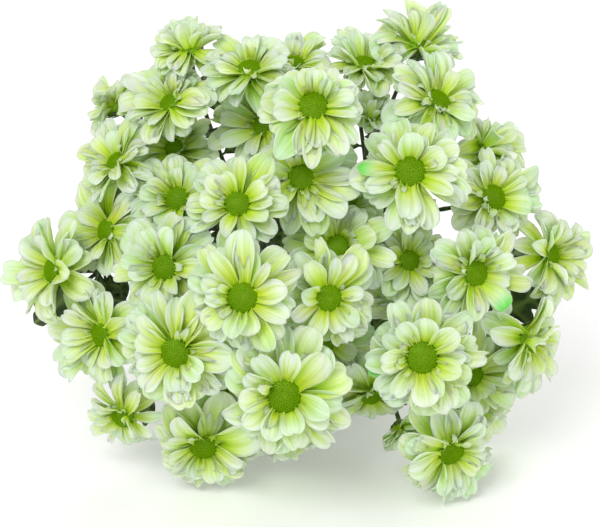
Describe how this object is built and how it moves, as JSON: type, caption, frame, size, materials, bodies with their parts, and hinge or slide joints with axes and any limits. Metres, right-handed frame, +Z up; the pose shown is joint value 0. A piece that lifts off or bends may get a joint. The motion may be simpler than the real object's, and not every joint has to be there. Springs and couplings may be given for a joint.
{
  "type": "multi-bloom chrysanthemum bunch",
  "caption": "Laid-down bunch of spray chrysanthemums: pale green-white daisy blooms with green discs, on branched leafy stems held by an elastic band.",
  "frame": {"origin": "on the surface the bunch lies on, under the middle of its box", "axes": "+Z up; the blooms face -Y and about 23 degrees up; the stems run back towards +Y, down to the surface; +X is to the right as seen from the front"},
  "size_m": [0.3791, 0.4513, 0.2816],
  "materials": {
    "bloom": "soft matte petals, white-green at the tips and yellow-green at the base, round a green disc",
    "stem": "dark green, finely ribbed stems and satin lobed leaves",
    "band": "tan elastic, matte"
  },
  "bodies": {
    "root": {"bloom_a1": "bloom", "bloom_a2": "bloom", "bloom_a3": "bloom", "bloom_a4": "bloom", "bloom_a5": "bloom", "bloom_b1": "bloom", "bloom_b2": "bloom", "bloom_b3": "bloom", "bloom_b4": "bloom", "bloom_c1": "bloom", "bloom_c2": "bloom", "bloom_c3": "bloom", "bloom_c4": "bloom", "bloom_c5": "bloom", "bloom_d1": "bloom", "bloom_d2": "bloom", "bloom_d3": "bloom", "bloom_e1": "bloom", "bloom_e2": "bloom", "bloom_e3": "bloom", "bloom_e4": "bloom", "bloom_f1": "bloom", "bloom_f2": "bloom", "bloom_f3": "bloom", "bloom_f4": "bloom", "bloom_g1": "bloom", "bloom_g2": "bloom", "bloom_g3": "bloom", "bloom_g4": "bloom", "bloom_g5": "bloom", "bloom_h1": "bloom", "bloom_h2": "bloom", "bloom_h3": "bloom", "bloom_h4": "bloom", "bloom_h5": "bloom", "bloom_i1": "bloom", "bloom_i2": "bloom", "bloom_i3": "bloom", "bloom_i4": "bloom", "bloom_i5": "bloom", "bloom_i6": "bloom", "bloom_j1": "bloom", "bloom_j2": "bloom", "bloom_j3": "bloom", "bloom_j4": "bloom", "stem_a": "stem", "stem_b": "stem", "stem_c": "stem", "stem_d": "stem", "stem_e": "stem", "stem_f": "stem", "stem_g": "stem", "stem_h": "stem", "stem_i": "stem", "stem_j": "stem", "band": "band"}
  },
  "joints": []
}
